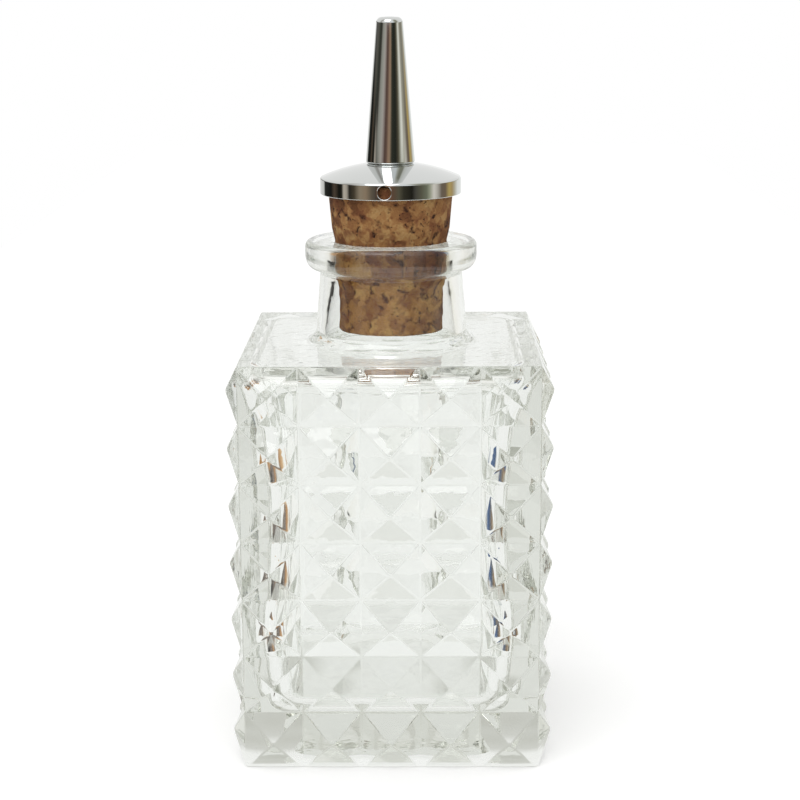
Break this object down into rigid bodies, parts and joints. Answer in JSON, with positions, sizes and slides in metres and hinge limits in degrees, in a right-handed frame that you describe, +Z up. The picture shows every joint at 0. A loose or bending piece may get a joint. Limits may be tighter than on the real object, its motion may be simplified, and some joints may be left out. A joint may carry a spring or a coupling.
{
  "type": "bitters bottle",
  "caption": "Square pressed-glass bottle with studded sides, closed by a tapered cork that carries a metal dasher cap and a tall conical spout.",
  "frame": {"origin": "middle of the base, on the surface that the bottle stands on", "axes": "+Z up along the neck and the spout, +X to the right and -Y to the front as the picture shows the bottle"},
  "size_m": [0.0546, 0.0546, 0.1252],
  "materials": {
    "glass": "clear pressed soda-lime glass, fire polished",
    "cork": "agglomerated cork, ground to a taper",
    "chrome": "polished chrome plate",
    "steel": "drawn stainless steel tube"
  },
  "bodies": {
    "bottle": {"glass_bottle": "glass"},
    "stopper": {"cork_stopper": "cork"},
    "dasher": {"dasher_cap": "chrome", "spout": "chrome", "stem_tube": "steel"}
  },
  "joints": [
    {"name": "stopper_lift", "type": "slide", "parent": "bottle", "child": "stopper", "axis": [0, 0, 1], "range_m": [0, 0.04]},
    {"name": "dasher_turn", "type": "hinge", "parent": "stopper", "child": "dasher", "pos_m": [0, 0, 0.0975], "axis": [0, 0, 1], "continuous": true}
  ]
}
